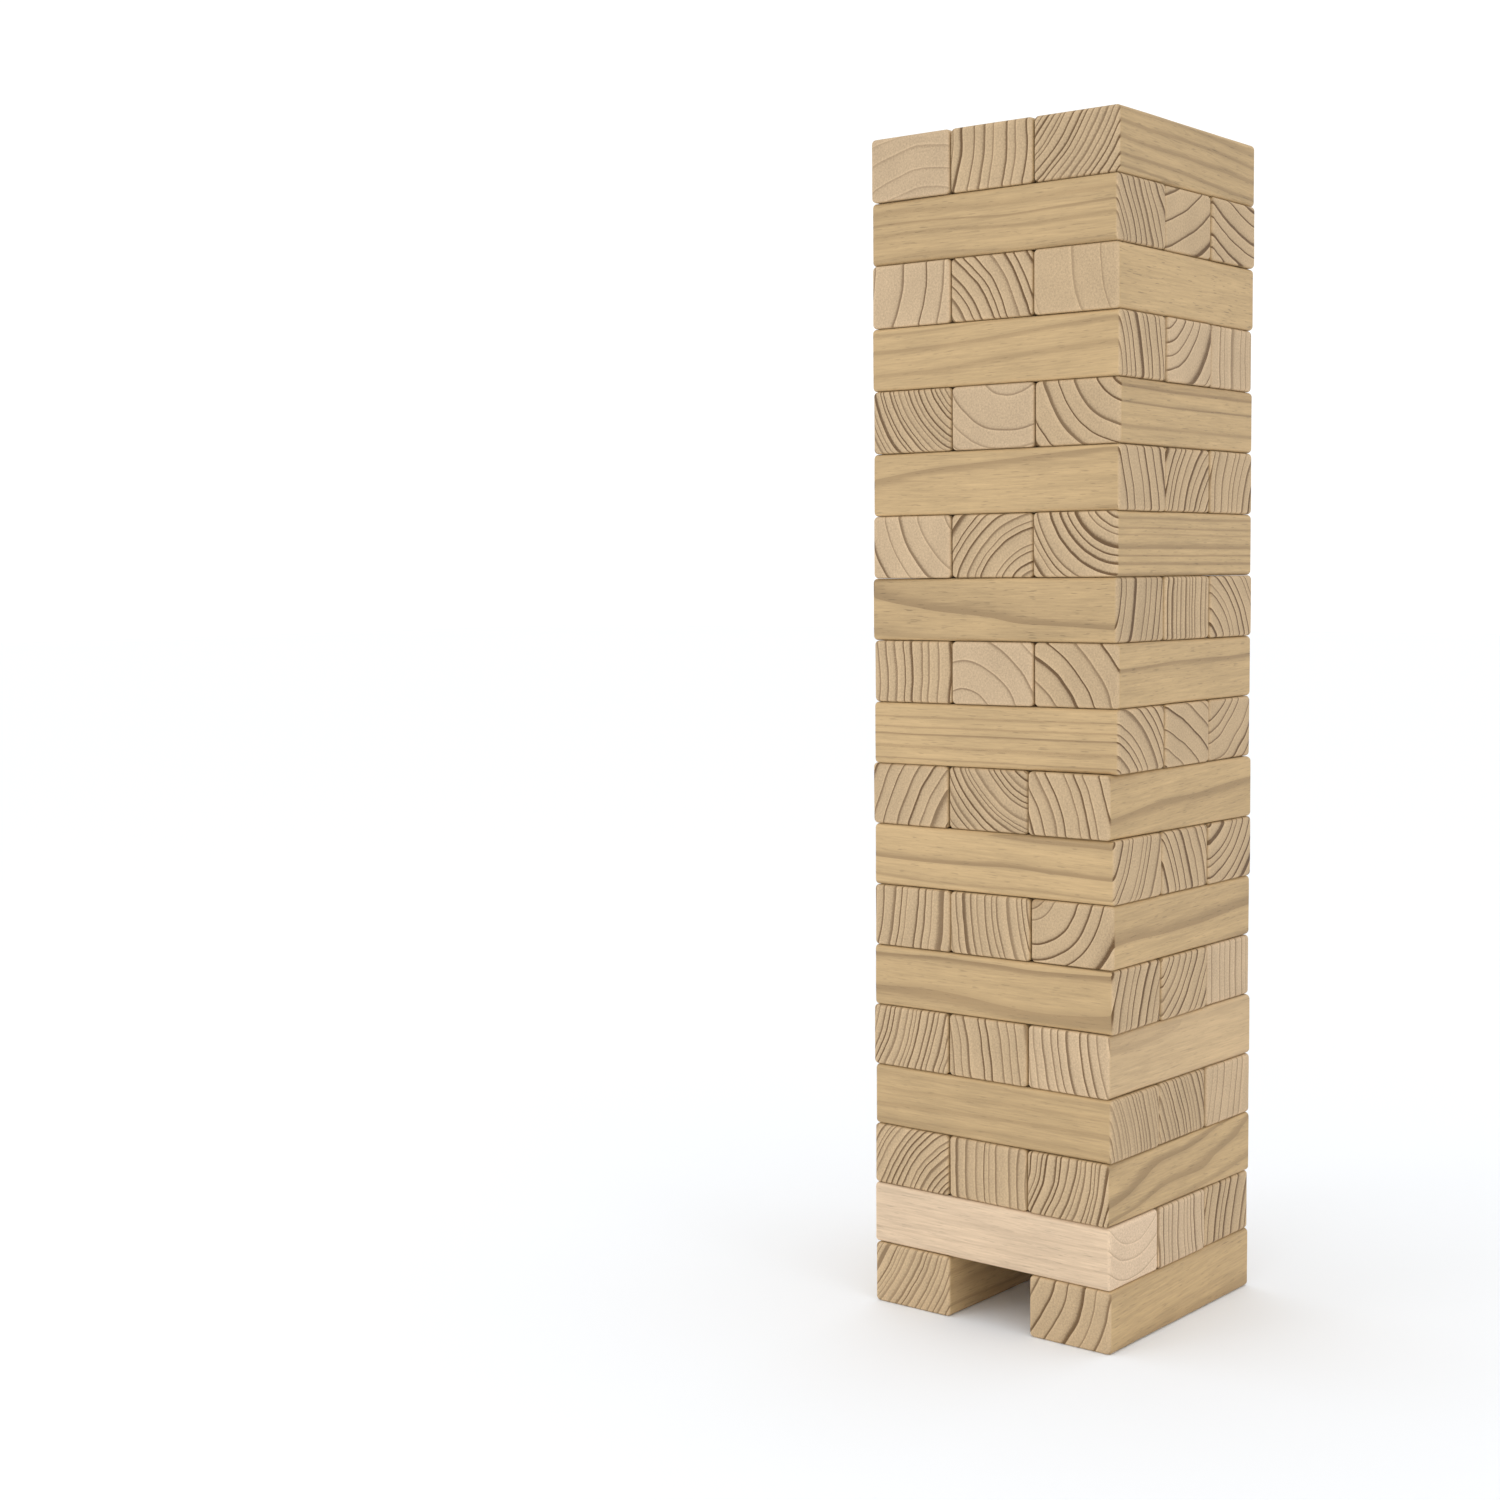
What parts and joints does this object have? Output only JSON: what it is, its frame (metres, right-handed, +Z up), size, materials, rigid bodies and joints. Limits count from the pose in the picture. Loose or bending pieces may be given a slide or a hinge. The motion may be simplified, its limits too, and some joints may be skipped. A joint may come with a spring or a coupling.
{
  "type": "giant tumbling tower",
  "caption": "Garden stacking game: tall tower of loose rounded pine blocks, three to a level, each level laid across the last, with a gap through the foot.",
  "frame": {"origin": "on the ground at the centre of the tower's footprint", "axes": "+Z up; -Y is the front, where the blocks of odd levels show an end; +X is the right side, where the blocks of even levels show an end; levels count up from the ground, and the bottom level is square to the axes"},
  "size_m": [0.1865, 0.1864, 0.76],
  "materials": {
    "pine": "planed and sanded, unvarnished"
  },
  "bodies": {
    "level_01_left_block": {"level_01_left_block": "pine"},
    "level_01_right_block": {"level_01_right_block": "pine"},
    "level_02_front_block": {"level_02_front_block": "pine"},
    "level_02_middle_block": {"level_02_middle_block": "pine"},
    "level_02_back_block": {"level_02_back_block": "pine"},
    "level_03_left_block": {"level_03_left_block": "pine"},
    "level_03_middle_block": {"level_03_middle_block": "pine"},
    "level_03_right_block": {"level_03_right_block": "pine"},
    "level_04_front_block": {"level_04_front_block": "pine"},
    "level_04_middle_block": {"level_04_middle_block": "pine"},
    "level_04_back_block": {"level_04_back_block": "pine"},
    "level_05_left_block": {"level_05_left_block": "pine"},
    "level_05_middle_block": {"level_05_middle_block": "pine"},
    "level_05_right_block": {"level_05_right_block": "pine"},
    "level_06_front_block": {"level_06_front_block": "pine"},
    "level_06_middle_block": {"level_06_middle_block": "pine"},
    "level_06_back_block": {"level_06_back_block": "pine"},
    "level_07_left_block": {"level_07_left_block": "pine"},
    "level_07_middle_block": {"level_07_middle_block": "pine"},
    "level_07_right_block": {"level_07_right_block": "pine"},
    "level_08_front_block": {"level_08_front_block": "pine"},
    "level_08_middle_block": {"level_08_middle_block": "pine"},
    "level_08_back_block": {"level_08_back_block": "pine"},
    "level_09_left_block": {"level_09_left_block": "pine"},
    "level_09_middle_block": {"level_09_middle_block": "pine"},
    "level_09_right_block": {"level_09_right_block": "pine"},
    "level_10_front_block": {"level_10_front_block": "pine"},
    "level_10_middle_block": {"level_10_middle_block": "pine"},
    "level_10_back_block": {"level_10_back_block": "pine"},
    "level_11_left_block": {"level_11_left_block": "pine"},
    "level_11_middle_block": {"level_11_middle_block": "pine"},
    "level_11_right_block": {"level_11_right_block": "pine"},
    "level_12_front_block": {"level_12_front_block": "pine"},
    "level_12_middle_block": {"level_12_middle_block": "pine"},
    "level_12_back_block": {"level_12_back_block": "pine"},
    "level_13_left_block": {"level_13_left_block": "pine"},
    "level_13_middle_block": {"level_13_middle_block": "pine"},
    "level_13_right_block": {"level_13_right_block": "pine"},
    "level_14_front_block": {"level_14_front_block": "pine"},
    "level_14_middle_block": {"level_14_middle_block": "pine"},
    "level_14_back_block": {"level_14_back_block": "pine"},
    "level_15_left_block": {"level_15_left_block": "pine"},
    "level_15_middle_block": {"level_15_middle_block": "pine"},
    "level_15_right_block": {"level_15_right_block": "pine"},
    "level_16_front_block": {"level_16_front_block": "pine"},
    "level_16_middle_block": {"level_16_middle_block": "pine"},
    "level_16_back_block": {"level_16_back_block": "pine"},
    "level_17_left_block": {"level_17_left_block": "pine"},
    "level_17_middle_block": {"level_17_middle_block": "pine"},
    "level_17_right_block": {"level_17_right_block": "pine"},
    "level_18_front_block": {"level_18_front_block": "pine"},
    "level_18_middle_block": {"level_18_middle_block": "pine"},
    "level_18_back_block": {"level_18_back_block": "pine"},
    "level_19_left_block": {"level_19_left_block": "pine"},
    "level_19_middle_block": {"level_19_middle_block": "pine"},
    "level_19_right_block": {"level_19_right_block": "pine"}
  },
  "joints": [
    {"name": "level_01_right_slide", "type": "slide", "parent": "level_01_left_block", "child": "level_01_right_block", "axis": [0, 1, 0], "range_m": [-0.19, 0.19]},
    {"name": "level_02_front_slide", "type": "slide", "parent": "level_01_left_block", "child": "level_02_front_block", "axis": [1, -0.0035, 0], "range_m": [-0.19, 0.19]},
    {"name": "level_02_middle_slide", "type": "slide", "parent": "level_01_left_block", "child": "level_02_middle_block", "axis": [1, -0.0035, 0], "range_m": [-0.19, 0.19]},
    {"name": "level_02_back_slide", "type": "slide", "parent": "level_01_left_block", "child": "level_02_back_block", "axis": [1, -0.0035, 0], "range_m": [-0.19, 0.19]},
    {"name": "level_03_left_slide", "type": "slide", "parent": "level_01_left_block", "child": "level_03_left_block", "axis": [0.0122, 0.9999, 0], "range_m": [-0.19, 0.19]},
    {"name": "level_03_middle_slide", "type": "slide", "parent": "level_01_left_block", "child": "level_03_middle_block", "axis": [0.0122, 0.9999, 0], "range_m": [-0.19, 0.19]},
    {"name": "level_03_right_slide", "type": "slide", "parent": "level_01_left_block", "child": "level_03_right_block", "axis": [0.0122, 0.9999, 0], "range_m": [-0.19, 0.19]},
    {"name": "level_04_front_slide", "type": "slide", "parent": "level_01_left_block", "child": "level_04_front_block", "axis": [1, -0.0035, 0], "range_m": [-0.19, 0.19]},
    {"name": "level_04_middle_slide", "type": "slide", "parent": "level_01_left_block", "child": "level_04_middle_block", "axis": [1, -0.0035, 0], "range_m": [-0.19, 0.19]},
    {"name": "level_04_back_slide", "type": "slide", "parent": "level_01_left_block", "child": "level_04_back_block", "axis": [1, -0.0035, 0], "range_m": [-0.19, 0.19]},
    {"name": "level_05_left_slide", "type": "slide", "parent": "level_01_left_block", "child": "level_05_left_block", "axis": [0.0105, 0.9999, 0], "range_m": [-0.19, 0.19]},
    {"name": "level_05_middle_slide", "type": "slide", "parent": "level_01_left_block", "child": "level_05_middle_block", "axis": [0.0105, 0.9999, 0], "range_m": [-0.19, 0.19]},
    {"name": "level_05_right_slide", "type": "slide", "parent": "level_01_left_block", "child": "level_05_right_block", "axis": [0.0105, 0.9999, 0], "range_m": [-0.19, 0.19]},
    {"name": "level_06_front_slide", "type": "slide", "parent": "level_01_left_block", "child": "level_06_front_block", "axis": [1, 0.007, 0], "range_m": [-0.19, 0.19]},
    {"name": "level_06_middle_slide", "type": "slide", "parent": "level_01_left_block", "child": "level_06_middle_block", "axis": [1, 0.007, 0], "range_m": [-0.19, 0.19]},
    {"name": "level_06_back_slide", "type": "slide", "parent": "level_01_left_block", "child": "level_06_back_block", "axis": [1, 0.007, 0], "range_m": [-0.19, 0.19]},
    {"name": "level_07_left_slide", "type": "slide", "parent": "level_01_left_block", "child": "level_07_left_block", "axis": [-0.0122, 0.9999, 0], "range_m": [-0.19, 0.19]},
    {"name": "level_07_middle_slide", "type": "slide", "parent": "level_01_left_block", "child": "level_07_middle_block", "axis": [-0.0122, 0.9999, 0], "range_m": [-0.19, 0.19]},
    {"name": "level_07_right_slide", "type": "slide", "parent": "level_01_left_block", "child": "level_07_right_block", "axis": [-0.0122, 0.9999, 0], "range_m": [-0.19, 0.19]},
    {"name": "level_08_front_slide", "type": "slide", "parent": "level_01_left_block", "child": "level_08_front_block", "axis": [1, 0.0087, 0], "range_m": [-0.19, 0.19]},
    {"name": "level_08_middle_slide", "type": "slide", "parent": "level_01_left_block", "child": "level_08_middle_block", "axis": [1, 0.0087, 0], "range_m": [-0.19, 0.19]},
    {"name": "level_08_back_slide", "type": "slide", "parent": "level_01_left_block", "child": "level_08_back_block", "axis": [1, 0.0087, 0], "range_m": [-0.19, 0.19]},
    {"name": "level_09_left_slide", "type": "slide", "parent": "level_01_left_block", "child": "level_09_left_block", "axis": [0.007, 1, 0], "range_m": [-0.19, 0.19]},
    {"name": "level_09_middle_slide", "type": "slide", "parent": "level_01_left_block", "child": "level_09_middle_block", "axis": [0.007, 1, 0], "range_m": [-0.19, 0.19]},
    {"name": "level_09_right_slide", "type": "slide", "parent": "level_01_left_block", "child": "level_09_right_block", "axis": [0.007, 1, 0], "range_m": [-0.19, 0.19]},
    {"name": "level_10_front_slide", "type": "slide", "parent": "level_01_left_block", "child": "level_10_front_block", "axis": [0.9996, 0.0297, 0], "range_m": [-0.19, 0.19]},
    {"name": "level_10_middle_slide", "type": "slide", "parent": "level_01_left_block", "child": "level_10_middle_block", "axis": [0.9996, 0.0297, 0], "range_m": [-0.19, 0.19]},
    {"name": "level_10_back_slide", "type": "slide", "parent": "level_01_left_block", "child": "level_10_back_block", "axis": [0.9996, 0.0297, 0], "range_m": [-0.19, 0.19]},
    {"name": "level_11_left_slide", "type": "slide", "parent": "level_01_left_block", "child": "level_11_left_block", "axis": [-0.0314, 0.9995, 0], "range_m": [-0.19, 0.19]},
    {"name": "level_11_middle_slide", "type": "slide", "parent": "level_01_left_block", "child": "level_11_middle_block", "axis": [-0.0314, 0.9995, 0], "range_m": [-0.19, 0.19]},
    {"name": "level_11_right_slide", "type": "slide", "parent": "level_01_left_block", "child": "level_11_right_block", "axis": [-0.0314, 0.9995, 0], "range_m": [-0.19, 0.19]},
    {"name": "level_12_front_slide", "type": "slide", "parent": "level_01_left_block", "child": "level_12_front_block", "axis": [0.9997, 0.0227, 0], "range_m": [-0.19, 0.19]},
    {"name": "level_12_middle_slide", "type": "slide", "parent": "level_01_left_block", "child": "level_12_middle_block", "axis": [0.9997, 0.0227, 0], "range_m": [-0.19, 0.19]},
    {"name": "level_12_back_slide", "type": "slide", "parent": "level_01_left_block", "child": "level_12_back_block", "axis": [0.9997, 0.0227, 0], "range_m": [-0.19, 0.19]},
    {"name": "level_13_left_slide", "type": "slide", "parent": "level_01_left_block", "child": "level_13_left_block", "axis": [-0.0262, 0.9997, 0], "range_m": [-0.19, 0.19]},
    {"name": "level_13_middle_slide", "type": "slide", "parent": "level_01_left_block", "child": "level_13_middle_block", "axis": [-0.0262, 0.9997, 0], "range_m": [-0.19, 0.19]},
    {"name": "level_13_right_slide", "type": "slide", "parent": "level_01_left_block", "child": "level_13_right_block", "axis": [-0.0262, 0.9997, 0], "range_m": [-0.19, 0.19]},
    {"name": "level_14_front_slide", "type": "slide", "parent": "level_01_left_block", "child": "level_14_front_block", "axis": [0.9996, 0.0279, 0], "range_m": [-0.19, 0.19]},
    {"name": "level_14_middle_slide", "type": "slide", "parent": "level_01_left_block", "child": "level_14_middle_block", "axis": [0.9996, 0.0279, 0], "range_m": [-0.19, 0.19]},
    {"name": "level_14_back_slide", "type": "slide", "parent": "level_01_left_block", "child": "level_14_back_block", "axis": [0.9996, 0.0279, 0], "range_m": [-0.19, 0.19]},
    {"name": "level_15_left_slide", "type": "slide", "parent": "level_01_left_block", "child": "level_15_left_block", "axis": [-0.0349, 0.9994, 0], "range_m": [-0.19, 0.19]},
    {"name": "level_15_middle_slide", "type": "slide", "parent": "level_01_left_block", "child": "level_15_middle_block", "axis": [-0.0349, 0.9994, 0], "range_m": [-0.19, 0.19]},
    {"name": "level_15_right_slide", "type": "slide", "parent": "level_01_left_block", "child": "level_15_right_block", "axis": [-0.0349, 0.9994, 0], "range_m": [-0.19, 0.19]},
    {"name": "level_16_front_slide", "type": "slide", "parent": "level_01_left_block", "child": "level_16_front_block", "axis": [0.9995, 0.0332, 0], "range_m": [-0.19, 0.19]},
    {"name": "level_16_middle_slide", "type": "slide", "parent": "level_01_left_block", "child": "level_16_middle_block", "axis": [0.9995, 0.0332, 0], "range_m": [-0.19, 0.19]},
    {"name": "level_16_back_slide", "type": "slide", "parent": "level_01_left_block", "child": "level_16_back_block", "axis": [0.9995, 0.0332, 0], "range_m": [-0.19, 0.19]},
    {"name": "level_17_left_slide", "type": "slide", "parent": "level_01_left_block", "child": "level_17_left_block", "axis": [-0.0262, 0.9997, 0], "range_m": [-0.19, 0.19]},
    {"name": "level_17_middle_slide", "type": "slide", "parent": "level_01_left_block", "child": "level_17_middle_block", "axis": [-0.0262, 0.9997, 0], "range_m": [-0.19, 0.19]},
    {"name": "level_17_right_slide", "type": "slide", "parent": "level_01_left_block", "child": "level_17_right_block", "axis": [-0.0262, 0.9997, 0], "range_m": [-0.19, 0.19]},
    {"name": "level_18_front_slide", "type": "slide", "parent": "level_01_left_block", "child": "level_18_front_block", "axis": [0.9999, 0.014, 0], "range_m": [-0.19, 0.19]},
    {"name": "level_18_middle_slide", "type": "slide", "parent": "level_01_left_block", "child": "level_18_middle_block", "axis": [0.9999, 0.014, 0], "range_m": [-0.19, 0.19]},
    {"name": "level_18_back_slide", "type": "slide", "parent": "level_01_left_block", "child": "level_18_back_block", "axis": [0.9999, 0.014, 0], "range_m": [-0.19, 0.19]},
    {"name": "level_19_left_slide", "type": "slide", "parent": "level_01_left_block", "child": "level_19_left_block", "axis": [-0.0262, 0.9997, 0], "range_m": [-0.19, 0.19]},
    {"name": "level_19_middle_slide", "type": "slide", "parent": "level_01_left_block", "child": "level_19_middle_block", "axis": [-0.0262, 0.9997, 0], "range_m": [-0.19, 0.19]},
    {"name": "level_19_right_slide", "type": "slide", "parent": "level_01_left_block", "child": "level_19_right_block", "axis": [-0.0262, 0.9997, 0], "range_m": [-0.19, 0.19]}
  ]
}
